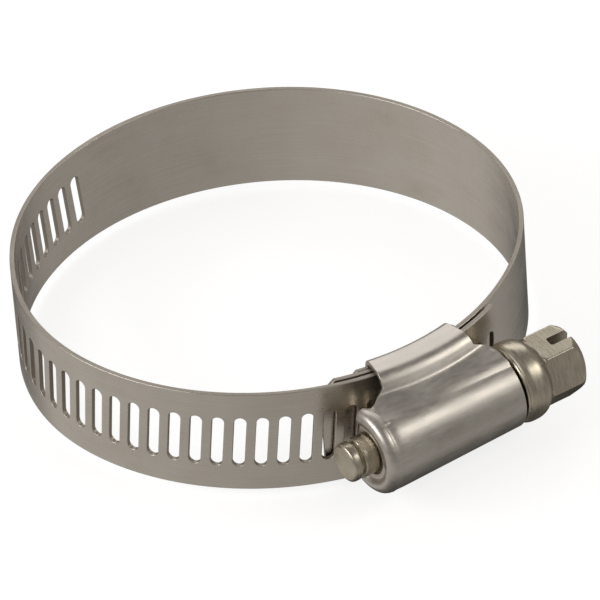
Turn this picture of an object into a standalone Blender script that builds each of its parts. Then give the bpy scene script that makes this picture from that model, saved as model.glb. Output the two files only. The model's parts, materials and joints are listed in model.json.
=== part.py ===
"""Worm-drive hose clamp: a slotted steel band closed on itself by a screw in a housing.

The band's guide circle is centred on the Z axis before the last shift. The housing sits on
its -Y side with the screw along X and its head towards +X. The slotted end of the band runs
through the housing from -X to +X, outside the plain end.
"""
import math

import bmesh
import bpy
from mathutils import Matrix, Vector

MM = 1.0
METRES = 0.001

# band
PITCH = 2.4 * MM
BAND_W = 12.7 * MM
BAND_T = 0.55 * MM
SLOT_LEN = 6.5 * MM
SLOT_W = 1.32 * MM
SLOT_LEAN = math.radians(6.0)
STRIP_R = 28.70 * MM
PLAIN_R = 27.85 * MM
RING_R = 28.15 * MM
RING_OFFSET = 0.8 * MM
LEAVE_START = math.radians(74)
LEAVE_END = math.radians(125)
ENTER_START = math.radians(270)
ENTER_END = math.radians(334)
LINK_GAP = 0.3 * MM
FIRST_SLOT = -33.5
LAST_SLOT = 4.5
TAIL_END = 5.0
STRIP_END = 16.0
SLOTTED_LINK_SLOTS = 6
SLOTTED_LINKS = 3
PLAIN_LINKS = 7
LAST_LINK_ANGLE = math.radians(6.5)
FIXED_TIP_ANGLE = math.radians(-22.5)
FIXED_ROOT_ANGLE = math.radians(2.5)
TONGUE_CLIP = 1.6 * MM

# screw
AXIS_R = 32.10 * MM
WORM_R = 3.55 * MM
WORM_FLAT = 0.62 * MM
WORM_ROOT = 1.12 * MM
SHANK_R = 2.85 * MM
PILOT_R = 2.25 * MM
COLLAR_R = 4.65 * MM
HEX_FLATS = 7.3 * MM
SCREW_SLOT_W = 1.2 * MM
SCREW_SLOT_DEPTH = 3.1 * MM
HEAD_TURN = math.radians(8)
PILOT_END_X = -12.3 * MM
WORM_START_X = -8.3 * MM
WORM_END_X = 8.0 * MM
COLLAR_X = 9.0 * MM
HEX_X = 12.7 * MM
HEAD_END_X = 17.6 * MM

# housing and saddle
BARREL_LEFT_R = 5.0 * MM
BARREL_RIGHT_R = 4.5 * MM
BORE_LEFT_R = 4.2 * MM
BORE_RIGHT_R = 3.8 * MM
BARREL_LEFT_X = -9.5 * MM
BARREL_RIGHT_X = 8.6 * MM
WALL_T = 0.7 * MM
PILOT_HOLE_R = 2.5 * MM
BARREL_LIP_R = 30.4 * MM
LUG_CUT_R = 31.9 * MM
LUG_T = 0.6 * MM
LUG_Z = 7.15 * MM
LUG_START = math.radians(-10.4)
LUG_END = math.radians(11.5)
EAR_ANGLE = math.radians(6.5)
EAR_R = 31.05 * MM
EAR_TRIM = {
    "left": [(-5.3 * MM, 9 * MM), (-5.3 * MM, 6.75 * MM), (-8.9 * MM, 4.3 * MM),
             (-8.9 * MM, 3 * MM), (-12 * MM, 3 * MM), (-12 * MM, 9 * MM)],
    "right": [(5.9 * MM, 9 * MM), (5.9 * MM, 6.7 * MM), (7.6 * MM, 5.75 * MM), (8.2 * MM, 5.1 * MM),
              (8.5 * MM, 4.4 * MM), (8.5 * MM, 3 * MM), (12 * MM, 3 * MM), (12 * MM, 9 * MM)],
}
TAB_IN_R = 26.39 * MM
TAB_OUT_R = 26.89 * MM
TAB_REACH_Z = 3.4 * MM
SADDLE_IN_R = 27.01 * MM
SADDLE_OUT_R = 27.45 * MM
SADDLE_HALF_ANGLE = math.radians(14.5)
SADDLE_W = 12.6 * MM

# whole part: from the guide circle's centre at mid height to the bounding box's bottom centre
SHIFT = Vector((0.22 * MM, 4.74 * MM, LUG_Z))

TO_SCREW_AXIS = Matrix.Translation((0, -AXIS_R, 0))

for old in list(bpy.data.objects):
    bpy.data.objects.remove(old, do_unlink=True)

parts = bpy.data.collections.new("hose_clamp")
cutters = bpy.data.collections.new("hose_clamp_cutters")
cutters.hide_render = True
bpy.context.scene.collection.children.link(parts)
bpy.context.scene.collection.children.link(cutters)


def steel(name, color, roughness):
    """Principled material of one metal finish."""
    material = bpy.data.materials.new(name)
    material.use_nodes = True
    shader = material.node_tree.nodes["Principled BSDF"]
    shader.inputs["Base Color"].default_value = (*color, 1.0)
    shader.inputs["Metallic"].default_value = 1.0
    shader.inputs["Roughness"].default_value = roughness
    return material


def add_object(name, mesh, collection, material=None):
    """Link a mesh as one object, with its material when it is a visible part."""
    obj = bpy.data.objects.new(name, mesh)
    collection.objects.link(obj)
    if material:
        mesh.materials.append(material)
    else:
        obj.display_type = "WIRE"
        obj.hide_render = True
    return obj


def mesh_of(bm, name):
    """Turn a bmesh into a mesh datablock with outward normals."""
    bmesh.ops.recalc_face_normals(bm, faces=bm.faces)
    mesh = bpy.data.meshes.new(name)
    bm.to_mesh(mesh)
    bm.free()
    return mesh


def shade(obj, degrees=35):
    """Smooth shading, kept sharp where faces meet at more than the given angle."""
    bm = bmesh.new()
    bm.from_mesh(obj.data)
    for face in bm.faces:
        face.smooth = True
    for edge in bm.edges:
        edge.smooth = edge.calc_face_angle(0) < math.radians(degrees)
    bm.to_mesh(obj.data)
    bm.free()


def boolean(obj, tool, operation):
    """Apply an exact Boolean to obj and keep the cutter in its own collection."""
    modifier = obj.modifiers.new(tool.name, "BOOLEAN")
    modifier.operation = operation
    modifier.solver = "EXACT"
    modifier.object = tool
    bpy.context.view_layer.update()
    graph = bpy.context.evaluated_depsgraph_get()
    result = bpy.data.meshes.new_from_object(obj.evaluated_get(graph))
    obj.modifiers.clear()
    obj.data = result


def lathe(profile, segments, name, closed=False):
    """Solid of revolution about the screw's axis from (x, radius) points, a closed loop or one on it."""
    bm = bmesh.new()
    verts = [bm.verts.new((x, -r, 0)) for x, r in profile]
    for a, b in zip(verts, verts[1:] + verts[:1] if closed else verts[1:]):
        bm.edges.new((a, b))
    bmesh.ops.spin(bm, geom=bm.verts[:] + bm.edges[:], cent=(0, 0, 0), axis=(1, 0, 0),
                   angle=2 * math.pi, steps=segments)
    bmesh.ops.remove_doubles(bm, verts=bm.verts, dist=0.0005 * MM)
    bm.transform(TO_SCREW_AXIS)
    return mesh_of(bm, name)


def spin_section(section, start, end, steps, name):
    """Solid swept about Z from a closed (radius, z) section between two angles measured from -Y."""
    bm = bmesh.new()
    c, s = math.cos(start), math.sin(start)
    face = bm.faces.new([bm.verts.new((r * s, -r * c, z)) for r, z in section])
    swept = bmesh.ops.spin(bm, geom=[face], cent=(0, 0, 0), axis=(0, 0, 1),
                           angle=end - start, steps=steps)
    last = [item for item in swept["geom_last"] if isinstance(item, bmesh.types.BMFace)]
    if not last:
        edges = [item for item in swept["geom_last"] if isinstance(item, bmesh.types.BMEdge)]
        bmesh.ops.contextual_create(bm, geom=edges)
    return mesh_of(bm, name)


def prism(outline, z0, z1, name):
    """Upright prism from an (x, y) outline between two heights."""
    bm = bmesh.new()
    face = bm.faces.new([bm.verts.new((x, y, z0)) for x, y in outline])
    moved = bmesh.ops.extrude_face_region(bm, geom=[face])
    top = [item for item in moved["geom"] if isinstance(item, bmesh.types.BMVert)]
    bmesh.ops.translate(bm, verts=top, vec=(0, 0, z1 - z0))
    return mesh_of(bm, name)


def smooth_step(t):
    """Cubic ease between 0 and 1."""
    t = min(max(t, 0.0), 1.0)
    return t * t * (3 - 2 * t)


def ring_radius(u):
    """Distance of the band's mid-line from the guide axis, u clockwise from -Y."""
    circle = RING_OFFSET * math.cos(u) + math.sqrt(RING_R ** 2 - (RING_OFFSET * math.sin(u)) ** 2)
    leave = smooth_step((u - LEAVE_START) / (LEAVE_END - LEAVE_START))
    enter = smooth_step((u - ENTER_START) / (ENTER_END - ENTER_START))
    radius = STRIP_R + (circle - STRIP_R) * leave
    return radius + (PLAIN_R - radius) * enter


def ring_point(u):
    """Point of the mid-line at clockwise angle u."""
    r = ring_radius(u)
    return Vector((-r * math.sin(u), -r * math.cos(u), 0))


SAMPLES = 2880
ANGLES = [2 * math.pi * i / SAMPLES for i in range(SAMPLES + 1)]
LENGTHS = [0.0]
for first, second in zip(ANGLES, ANGLES[1:]):
    LENGTHS.append(LENGTHS[-1] + (ring_point(second) - ring_point(first)).length)


def angle_at(length):
    """Clockwise angle at an arc length along the mid-line from -Y."""
    if length <= 0:
        return length / STRIP_R
    low, high = 0, SAMPLES
    while high - low > 1:
        middle = (low + high) // 2
        if LENGTHS[middle] <= length:
            low = middle
        else:
            high = middle
    part = (length - LENGTHS[low]) / (LENGTHS[high] - LENGTHS[low])
    return ANGLES[low] + (ANGLES[high] - ANGLES[low]) * part


def length_at(u):
    """Arc length of the mid-line from -Y to clockwise angle u."""
    place = u / (2 * math.pi) * SAMPLES
    low = int(place)
    return LENGTHS[low] + (LENGTHS[low + 1] - LENGTHS[low]) * (place - low)


def on_ring(along, outward, z):
    """Point on the bent band from flat (along, outward, z), along measured towards the tail."""
    u = angle_at(-along)
    ahead = ring_point(max(u, 0) + 0.002) - ring_point(max(u, 0) - 0.002)
    if u < 0:
        base = Vector((-STRIP_R * math.sin(u), -STRIP_R * math.cos(u), 0))
        normal = base.normalized()
    else:
        base = ring_point(u)
        normal = Vector((-ahead.y, ahead.x, 0)).normalized()
        if normal.dot(base) < 0:
            normal.negate()
    return Vector((base.x + normal.x * outward, base.y + normal.y * outward, z))


def slot_outline(centre):
    """Stadium outline of one slot in the flat strip, leaned like the worm's thread."""
    points = []
    half = SLOT_LEN / 2 - SLOT_W / 2
    for end, start in ((1, 0), (-1, math.pi)):
        for i in range(5):
            a = start + math.pi * i / 4
            x = SLOT_W / 2 * math.cos(a)
            y = end * half + SLOT_W / 2 * math.sin(a)
            points.append((centre + x * math.cos(SLOT_LEAN) + y * math.sin(SLOT_LEAN),
                           y * math.cos(SLOT_LEAN) - x * math.sin(SLOT_LEAN)))
    return points


def flat_band(outline, holes):
    """Flat strip with holes from a filled 2D curve, in (length, width) with thickness along Z."""
    curve = bpy.data.curves.new("flat_band", "CURVE")
    curve.dimensions = "2D"
    curve.fill_mode = "BOTH"
    curve.extrude = BAND_T / 2
    for loop in [outline] + holes:
        spline = curve.splines.new("POLY")
        spline.points.add(len(loop) - 1)
        for point, (x, y) in zip(spline.points, loop):
            point.co = (x, y, 0, 1)
        spline.use_cyclic_u = True
    flat = bpy.data.objects.new("flat_band", curve)
    cutters.objects.link(flat)
    flat.hide_render = True
    bpy.context.view_layer.update()
    mesh = bpy.data.meshes.new_from_object(flat.evaluated_get(bpy.context.evaluated_depsgraph_get()))
    bpy.data.objects.remove(flat, do_unlink=True)
    bm = bmesh.new()
    bm.from_mesh(mesh)
    bmesh.ops.remove_doubles(bm, verts=bm.verts, dist=0.001 * MM)
    return bm


def bent_band(name, start, end, holes, place, material, outline=None):
    """Band piece between two arc lengths, cut flat and then bent round the ring by place()."""
    half = BAND_W / 2
    outline = outline or [(start, -half), (end, -half), (end, half), (start, half)]
    bm = flat_band(outline, holes)
    first = math.floor(start / PITCH)
    for i in range(math.ceil((end - start) / PITCH) + 1):
        x = (first + i) * PITCH
        if start + 0.2 * MM < x < end - 0.2 * MM:
            bmesh.ops.bisect_plane(bm, geom=bm.verts[:] + bm.edges[:] + bm.faces[:],
                                   plane_co=(x, 0, 0), plane_no=(1, 0, 0), dist=0.0001 * MM)
    for vert in bm.verts:
        vert.co = place(vert.co.x, vert.co.z, vert.co.y)
    bmesh.ops.triangulate(bm, faces=bm.faces)
    obj = add_object(name, mesh_of(bm, name), parts, material)
    shade(obj)
    return obj


def thread_ridge():
    """Helical ridge of the worm, right-handed about X, tapering into the shank at both ends."""
    turns = (WORM_END_X - WORM_START_X) / PITCH
    steps = round(turns * 20)
    bm = bmesh.new()
    rings = []
    for i in range(steps + 1):
        t = i / steps * turns
        x = WORM_START_X + t * PITCH
        a = (x / PITCH - LAST_SLOT) * 2 * math.pi
        fade = smooth_step(min(t, turns - t) / 0.6)
        top = SHANK_R - 0.3 * MM + (WORM_R - SHANK_R + 0.3 * MM) * fade
        low = SHANK_R - 0.5 * MM
        ridge = (
            (-WORM_ROOT / 2, low), (WORM_ROOT / 2, low), (WORM_FLAT / 2, top), (-WORM_FLAT / 2, top),
        )
        ring = [bm.verts.new((x + dx, r * math.cos(a), r * math.sin(a))) for dx, r in ridge]
        rings.append(ring)
    for near, far in zip(rings, rings[1:]):
        for j in range(4):
            k = (j + 1) % 4
            bm.faces.new((near[j], near[k], far[k], far[j]))
    bm.faces.new(rings[0])
    bm.faces.new(rings[-1][::-1])
    bmesh.ops.triangulate(bm, faces=bm.faces)
    bm.transform(TO_SCREW_AXIS)
    return mesh_of(bm, "thread_ridge")


def build_screw(material):
    """One-piece screw: pilot tip, worm, collar and slotted hexagon head."""
    hex_r = HEX_FLATS / 2
    body = [
        (PILOT_END_X, 0), (PILOT_END_X, PILOT_R - 0.35 * MM), (PILOT_END_X + 0.35 * MM, PILOT_R),
        (WORM_START_X - 0.35 * MM, PILOT_R), (WORM_START_X - 0.2 * MM, SHANK_R),
        (COLLAR_X - 0.2 * MM, SHANK_R), (COLLAR_X, SHANK_R + 0.1 * MM),
        (COLLAR_X, COLLAR_R - 0.45 * MM), (COLLAR_X + 0.3 * MM, COLLAR_R - 0.25 * MM),
        (HEX_X - 2.0 * MM, COLLAR_R), (HEX_X - 1.2 * MM, COLLAR_R - 0.1 * MM),
        (HEX_X - 0.5 * MM, COLLAR_R - 0.55 * MM), (HEX_X, hex_r * 0.98), (HEX_X, 0),
    ]
    screw = add_object("worm_screw", lathe(body, 24, "worm_screw"), parts, material)
    boolean(screw, add_object("thread_ridge", thread_ridge(), cutters), "UNION")
    envelope = [
        (HEX_X - 0.6 * MM, 0), (HEX_X - 0.6 * MM, hex_r * 1.02), (HEX_X, hex_r * 1.155),
        (HEAD_END_X - 1.5 * MM, hex_r * 1.155), (HEAD_END_X - 0.5 * MM, hex_r * 1.0),
        (HEAD_END_X, hex_r * 0.78), (HEAD_END_X, 0),
    ]
    head = add_object("hex_head", lathe(envelope, 30, "hex_head"), cutters)
    bm = bmesh.new()
    length = 8 * MM
    bmesh.ops.create_cone(bm, cap_ends=True, segments=6, radius1=hex_r / math.cos(math.pi / 6),
                          radius2=hex_r / math.cos(math.pi / 6), depth=length)
    bm.transform(TO_SCREW_AXIS @ Matrix.Rotation(HEAD_TURN, 4, "X")
                 @ Matrix.Translation((HEX_X + 1 * MM, 0, 0)) @ Matrix.Rotation(math.pi / 2, 4, "Y"))
    prism_six = add_object("hex_prism", mesh_of(bm, "hex_prism"), cutters)
    boolean(head, prism_six, "INTERSECT")
    boolean(screw, head, "UNION")
    bm = bmesh.new()
    bmesh.ops.create_cube(bm, size=1)
    cut_length = SCREW_SLOT_DEPTH + 1 * MM
    bm.transform(TO_SCREW_AXIS @ Matrix.Rotation(HEAD_TURN, 4, "X")
                 @ Matrix.Translation((HEAD_END_X - SCREW_SLOT_DEPTH + cut_length / 2, 0, 0))
                 @ Matrix.Diagonal((cut_length, SCREW_SLOT_W, 12 * MM, 1)))
    driver_slot = add_object("driver_slot", mesh_of(bm, "driver_slot"), cutters)
    boolean(screw, driver_slot, "DIFFERENCE")
    return screw


def sheet_section(path):
    """Closed outline of a bent sheet from (radius, z, half thickness) points along its middle."""
    outer, inner = [], []
    for i, (r, z, half) in enumerate(path):
        r0, z0, _ = path[max(i - 1, 0)]
        r1, z1, _ = path[min(i + 1, len(path) - 1)]
        size = math.hypot(r1 - r0, z1 - z0)
        nr, nz = (z1 - z0) / size, -(r1 - r0) / size
        outer.append((r + nr * half, z + nz * half))
        inner.append((r - nr * half, z - nz * half))
    return outer + inner[::-1]


def build_housing(material):
    """Pressed housing: barrel with a closed end, and two lugs folded round the band's edges."""
    left, right = BARREL_LEFT_X, BARREL_RIGHT_X
    cup = [
        (left, PILOT_HOLE_R), (left, BARREL_LEFT_R - 1.0 * MM),
        (left + 0.13 * MM, BARREL_LEFT_R - 0.5 * MM), (left + 0.5 * MM, BARREL_LEFT_R - 0.13 * MM),
        (left + 1.0 * MM, BARREL_LEFT_R), (right - 0.3 * MM, BARREL_RIGHT_R),
        (right, BARREL_RIGHT_R - 0.25 * MM), (right, BORE_RIGHT_R),
        (left + WALL_T + 0.3 * MM, BORE_LEFT_R), (left + WALL_T, BORE_LEFT_R - 0.3 * MM),
        (left + WALL_T, PILOT_HOLE_R),
    ]
    housing = add_object("housing", lathe(cup, 40, "housing", closed=True), parts, material)
    lip, corner, reach = -BARREL_LIP_R, 0.9 * MM, 12 * MM
    lip_outline = [
        (-reach, lip - 1.2 * MM), (left + 0.6 * MM, lip - 0.3 * MM), (left + 2 * MM, lip),
        (right - corner, lip), (right - corner * 0.3, lip - corner * 0.25),
        (right + corner * 0.2, lip - corner * 1.1), (reach, lip - corner * 1.1), (reach, 0), (-reach, 0),
    ]
    near = LUG_CUT_R * math.sin(LUG_START) + 0.7 * MM
    far = LUG_CUT_R * math.sin(LUG_END) - 0.7 * MM
    mouth_outline = [(near, -LUG_CUT_R), (far, -LUG_CUT_R), (far, 0), (near, 0)]
    for name, outline in (("lip_cut", lip_outline), ("mouth_cut", mouth_outline)):
        cutter = add_object(name, prism(outline, -9 * MM, 9 * MM, name), cutters)
        boolean(housing, cutter, "DIFFERENCE")
    half, tab = LUG_T / 2, (TAB_OUT_R - TAB_IN_R) / 2
    flat, tab_r = LUG_Z - half, (TAB_OUT_R + TAB_IN_R) / 2
    path = [
        (AXIS_R + 0.55 * MM, 4.12 * MM, half), (AXIS_R + 0.15 * MM, 4.55 * MM, half),
        (AXIS_R - 0.22 * MM, 5.15 * MM, half), (AXIS_R - 0.58 * MM, 5.95 * MM, half),
        (AXIS_R - 1.0 * MM, 6.6 * MM, half), (AXIS_R - 1.65 * MM, flat, half),
        (tab_r + 1.1 * MM, flat, half), (tab_r + 0.45 * MM, flat - 0.1 * MM, half),
        (tab_r + 0.05 * MM, flat - 0.5 * MM, tab), (tab_r, flat - 1.1 * MM, tab),
        (tab_r, TAB_REACH_Z, tab),
    ]
    section = sheet_section(path)
    for name, side in (("upper_lug", 1), ("lower_lug", -1)):
        mirrored = [(r, side * z) for r, z in section]
        sheet = spin_section(mirrored, LUG_START - EAR_ANGLE, LUG_END + EAR_ANGLE, 10, name)
        lug = add_object(name, sheet, cutters)
        for end, edge in (("left", LUG_START), ("right", LUG_END)):
            outer = edge + math.copysign(3 * EAR_ANGLE, edge)
            wedge = [(r * math.sin(a), -r * math.cos(a)) for r, a in
                     ((20 * MM, edge), (EAR_R, edge), (EAR_R / math.cos(outer - edge), outer))]
            beyond = add_object(name + end, prism(wedge, -9 * MM, 9 * MM, name + end), cutters)
            boolean(lug, beyond, "DIFFERENCE")
            trim = prism(EAR_TRIM[end], 20 * MM, 40 * MM, name + end)
            trim.transform(Matrix.Rotation(math.pi / 2, 4, "X") @ Matrix.Diagonal((1, side, 1, 1)))
            if side < 0:
                trim.flip_normals()
            boolean(lug, add_object(name + end + "_trim", trim, cutters), "DIFFERENCE")
        boolean(housing, lug, "UNION")
    return housing


band_steel = steel("band_stainless", (0.62, 0.60, 0.58), 0.34)
housing_steel = steel("housing_stainless", (0.66, 0.64, 0.61), 0.26)
screw_steel = steel("screw_steel", (0.64, 0.61, 0.53), 0.38)

housing = build_housing(housing_steel)
screw = build_screw(screw_steel)

half = SADDLE_W / 2
saddle_section = [
    (SADDLE_IN_R, -half), (SADDLE_OUT_R, -half), (SADDLE_OUT_R, half), (SADDLE_IN_R, half),
]
saddle_mesh = spin_section(saddle_section, -SADDLE_HALF_ANGLE, SADDLE_HALF_ANGLE, 12, "saddle")
saddle = add_object("saddle", saddle_mesh, parts, housing_steel)

tip, root, half = PLAIN_R * FIXED_TIP_ANGLE, PLAIN_R * FIXED_ROOT_ANGLE, BAND_W / 2
fixed_outline = [
    (tip, -half + TONGUE_CLIP), (tip + TONGUE_CLIP, -half), (root, -half), (root, half),
    (tip + TONGUE_CLIP, half), (tip, half - TONGUE_CLIP),
]


def on_plain_circle(along, outward, z):
    """Point on the fixed end, which follows the inner circle through the housing."""
    r, a = PLAIN_R + outward, along / PLAIN_R
    return Vector((r * math.sin(a), -r * math.cos(a), z))


bent_band("band_fixed_end", tip, root, [], on_plain_circle, band_steel, fixed_outline)

cuts = [TAIL_END * PITCH, -STRIP_END * PITCH]
for i in range(SLOTTED_LINKS):
    cuts.append(cuts[-1] - SLOTTED_LINK_SLOTS * PITCH)
chain_end = -length_at(2 * math.pi - LAST_LINK_ANGLE)
plain_length = (cuts[-1] - chain_end) / PLAIN_LINKS
for i in range(PLAIN_LINKS):
    cuts.append(cuts[-1] - plain_length)
slot_centres = [(FIRST_SLOT + i) * PITCH for i in range(round(LAST_SLOT - FIRST_SLOT) + 1)]
names = ["band_slotted_tail"]
names += ["band_slotted_link_%d" % (i + 1) for i in range(SLOTTED_LINKS)]
names += ["band_plain_link_%d" % (i + 1) for i in range(PLAIN_LINKS)]
for i, name in enumerate(names):
    far = cuts[i] - (LINK_GAP / 2 if i else 0)
    near = cuts[i + 1] + (LINK_GAP / 2 if i < len(names) - 1 else 0)
    slots = [centre for centre in slot_centres if near < centre < far]
    bent_band(name, near, far, [slot_outline(c) for c in slots], on_ring, band_steel)

to_world = Matrix.Scale(METRES, 4) @ Matrix.Translation(SHIFT)
for obj in list(parts.objects) + list(cutters.objects):
    obj.data.transform(to_world)
for obj in (housing, screw, saddle):
    shade(obj)
pivot = to_world @ Vector((0, -AXIS_R, 0))
screw.data.transform(Matrix.Translation(-pivot))
screw.location = pivot
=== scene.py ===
"""Looks of a worm-drive hose clamp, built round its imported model.

Shapes are made in millimetres in the ring's own frame. Its Z axis is the axis of the circle that guides
the band through the housing, its origin is at the band's mid height, the housing lies on the -Y side, and
the screw lies along X with its head towards +X. TO_ROW takes them to the row frame in metres. Distances
along the band are counted from the middle of the housing, and grow towards the band's free tail.
"""
import json
import math
from bisect import bisect_right

import bmesh
import bpy
from mathutils import Matrix, Vector


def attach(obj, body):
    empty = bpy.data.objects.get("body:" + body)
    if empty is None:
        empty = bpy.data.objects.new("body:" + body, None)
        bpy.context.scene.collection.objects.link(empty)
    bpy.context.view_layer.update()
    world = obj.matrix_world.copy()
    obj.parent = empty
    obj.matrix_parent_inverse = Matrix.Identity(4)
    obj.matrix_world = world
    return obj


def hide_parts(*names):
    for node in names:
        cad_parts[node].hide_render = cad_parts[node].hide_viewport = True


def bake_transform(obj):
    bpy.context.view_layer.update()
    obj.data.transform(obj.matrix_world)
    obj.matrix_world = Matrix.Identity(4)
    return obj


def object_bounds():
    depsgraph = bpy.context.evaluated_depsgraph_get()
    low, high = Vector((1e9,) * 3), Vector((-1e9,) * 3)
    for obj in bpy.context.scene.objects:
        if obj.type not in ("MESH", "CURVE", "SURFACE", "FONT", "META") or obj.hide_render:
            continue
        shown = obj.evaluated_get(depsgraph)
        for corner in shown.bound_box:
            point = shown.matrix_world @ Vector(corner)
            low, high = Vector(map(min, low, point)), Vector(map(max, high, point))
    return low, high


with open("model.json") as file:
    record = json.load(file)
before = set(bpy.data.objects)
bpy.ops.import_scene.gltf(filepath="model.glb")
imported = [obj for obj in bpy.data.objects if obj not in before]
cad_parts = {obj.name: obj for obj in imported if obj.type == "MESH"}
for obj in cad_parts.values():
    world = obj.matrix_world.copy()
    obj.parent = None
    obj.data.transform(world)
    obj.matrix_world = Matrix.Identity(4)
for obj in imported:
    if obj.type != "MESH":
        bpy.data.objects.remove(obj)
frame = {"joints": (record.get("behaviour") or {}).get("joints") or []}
cad_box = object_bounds()

# band, with its slots counted in pitches
PITCH = 2.4
BAND_W = 12.7
BAND_T = 0.55
SLOT_LEN = 6.5
SLOT_W = 1.32
SLOT_LEAN = math.radians(6.0)
FIRST_SLOT = -33.5
LAST_SLOT = 4.5
TAIL_END = 12.0
SLOTTED_CUTS = [-16 * PITCH, -22 * PITCH, -28 * PITCH, -34 * PITCH]
HALF_LINK = 3 * PITCH
PLAIN_LINKS = 7
PLAIN_LENGTH = 13.05
FLEX_REACH = 0.44
EDGE_R = 0.09
BEND_STEP = 0.6

# mid-line of the band: over the saddle, into the ring between the leave angles, and back between the
# enter angles to run under the start
STRIP_R = 28.70
PLAIN_R = 27.85
RING_R = 28.15
RING_OFFSET = 0.8
LEAVE_START = math.radians(74)
LEAVE_END = math.radians(125)
ENTER_START = math.radians(270)
ENTER_END = math.radians(334)
RING_SAMPLES = 2880
TANGENT_STEP = 0.002

# fixed end of the band, and saddle
FIXED_TIP_ANGLE = math.radians(-22.5)
FIXED_ROOT_ANGLE = math.radians(2.5)
TONGUE_CLIP = 1.6
SADDLE_R = 27.23
SADDLE_T = 0.44
SADDLE_W = 12.6
SADDLE_HALF_ANGLE = math.radians(14.5)
SADDLE_CLIP = 0.5

# screw
AXIS_R = 32.10
WORM_R = 3.55
WORM_FLAT = 0.62
WORM_ROOT = 1.12
WORM_FADE = 0.6
SHANK_R = 2.85
PILOT_R = 2.25
PILOT_GROOVE_X = -11.1
GROOVE_LEAD = 0.35
GROOVE_REACH = 0.7
HEX_R = 3.65
HEX_EASE = 0.12
HEAD_EASE = 0.14
HEAD_TURN = math.radians(8)
PILOT_END_X = -12.3
WORM_START_X = -8.3
WORM_END_X = 8.0
COLLAR_X = 9.0
HEX_X = 12.7
HEX_ROOT_X = HEX_X - 0.6
HEAD_END_X = 17.6
DRIVER_SLOT_W = 1.2
DRIVER_SLOT_DEPTH = 3.1
DRIVER_SLOT_FLARE = 0.12
DRIVER_SLOT_EASE = 0.2
DRIVER_REACH = 6.0

# housing, by the middle of its sheet
BARREL_LEFT_X = -9.15
BARREL_RIGHT_X = 8.45
BARREL_LEFT_R = 4.6
BARREL_RIGHT_R = 4.15
BARREL_HALF_T = 0.36
PILOT_HOLE_R = 2.6
LUG_HALF_T = 0.3
TAB_HALF_T = 0.25
LUG_START = math.radians(-10.4)
LUG_END = math.radians(11.5)
LUG_ROOT_R = AXIS_R + 0.9
LUG_LEFT_X = LUG_ROOT_R * math.sin(LUG_START)
LUG_RIGHT_X = LUG_ROOT_R * math.sin(LUG_END)
LEAVE_BARREL = math.radians(66)
NECK_X = -8.1
NECK_REACH_LEFT = 0.34
NECK_REACH_RIGHT = 0.6
NECK_DEPTH = 0.03
NECK_FRONT_DEPTH = 0.13
NECK_FRONT_ANGLE = math.radians(52)
NECK_FRONT_REACH = 0.5
RIM_R = 0.1
RIM_STEPS = 3

screw_joint = next(j for j in frame["joints"] if j["name"] == "screw_turn")
SHIFT = Vector(screw_joint["pos_m"]) * 1000 + Vector((0, AXIS_R, 0))
TO_ROW = Matrix.Scale(0.001, 4) @ Matrix.Translation(SHIFT)
TO_SCREW_AXIS = Matrix.Translation((0, -AXIS_R, 0))


def smooth_step(t):
    """Cubic ease between 0 and 1."""
    t = min(max(t, 0.0), 1.0)
    return t * t * (3 - 2 * t)


def smooth_min(a, b, k):
    """Lesser of two lengths, rounded over k where they cross."""
    h = min(max(0.5 + 0.5 * (b - a) / k, 0), 1)
    return b + (a - b) * h - k * h * (1 - h)


def bell(distance, width):
    """Bell curve of height 1."""
    return math.exp(-(distance / width) ** 2)


def along_points(points, x):
    """Value at x on a polyline of (x, value) points."""
    for (x0, v0), (x1, v1) in zip(points, points[1:]):
        if x <= x1:
            return v0 + (v1 - v0) * min(max((x - x0) / (x1 - x0), 0), 1)
    return points[-1][1]


def catmull_rom(points, steps):
    """Smooth line through the points, with steps between each two."""
    ends = [points[0]] + list(points) + [points[-1]]
    line = []
    for i in range(1, len(ends) - 2):
        p0, p1, p2, p3 = (Vector(p) for p in ends[i - 1:i + 3])
        for k in range(steps):
            t = k / steps
            line.append(0.5 * (2 * p1 + (p2 - p0) * t + (2 * p0 - 5 * p1 + 4 * p2 - p3) * t ** 2
                               + (3 * p1 - p0 - 3 * p2 + p3) * t ** 3))
    line.append(Vector(points[-1]))
    return line


def add_object(name, data):
    """Object in the scene from its mesh, curve, light or camera."""
    obj = bpy.data.objects.new(name, data)
    bpy.context.scene.collection.objects.link(obj)
    return obj


def add_piece(name, mesh, material):
    """Piece of the clamp from its mesh, with its material."""
    obj = add_object(name, mesh)
    mesh.materials.append(material)
    return obj


def mesh_of(name, bm):
    """New mesh from a bmesh, which is freed."""
    mesh = bpy.data.meshes.new(name)
    bm.to_mesh(mesh)
    bm.free()
    return mesh


def evaluated_mesh(obj):
    """New mesh of an object as its modifiers or its curve's bevel make it."""
    bpy.context.view_layer.update()
    return bpy.data.meshes.new_from_object(obj.evaluated_get(bpy.context.evaluated_depsgraph_get()))


# ---------------------------------------------------------------- the band's mid-line

def ring_radius(u):
    """Distance of the band's mid-line from the guide axis, u clockwise from -Y."""
    circle = RING_OFFSET * math.cos(u) + math.sqrt(RING_R ** 2 - (RING_OFFSET * math.sin(u)) ** 2)
    leave = smooth_step((u - LEAVE_START) / (LEAVE_END - LEAVE_START))
    enter = smooth_step((u - ENTER_START) / (ENTER_END - ENTER_START))
    radius = STRIP_R + (circle - STRIP_R) * leave
    return radius + (PLAIN_R - radius) * enter


def ring_point(u):
    """Point of the mid-line at clockwise angle u."""
    r = ring_radius(u)
    return Vector((-r * math.sin(u), -r * math.cos(u), 0))


ANGLES = [2 * math.pi * i / RING_SAMPLES for i in range(RING_SAMPLES + 1)]
LENGTHS = [0.0]
for before, after in zip(ANGLES, ANGLES[1:]):
    LENGTHS.append(LENGTHS[-1] + (ring_point(after) - ring_point(before)).length)


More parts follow.
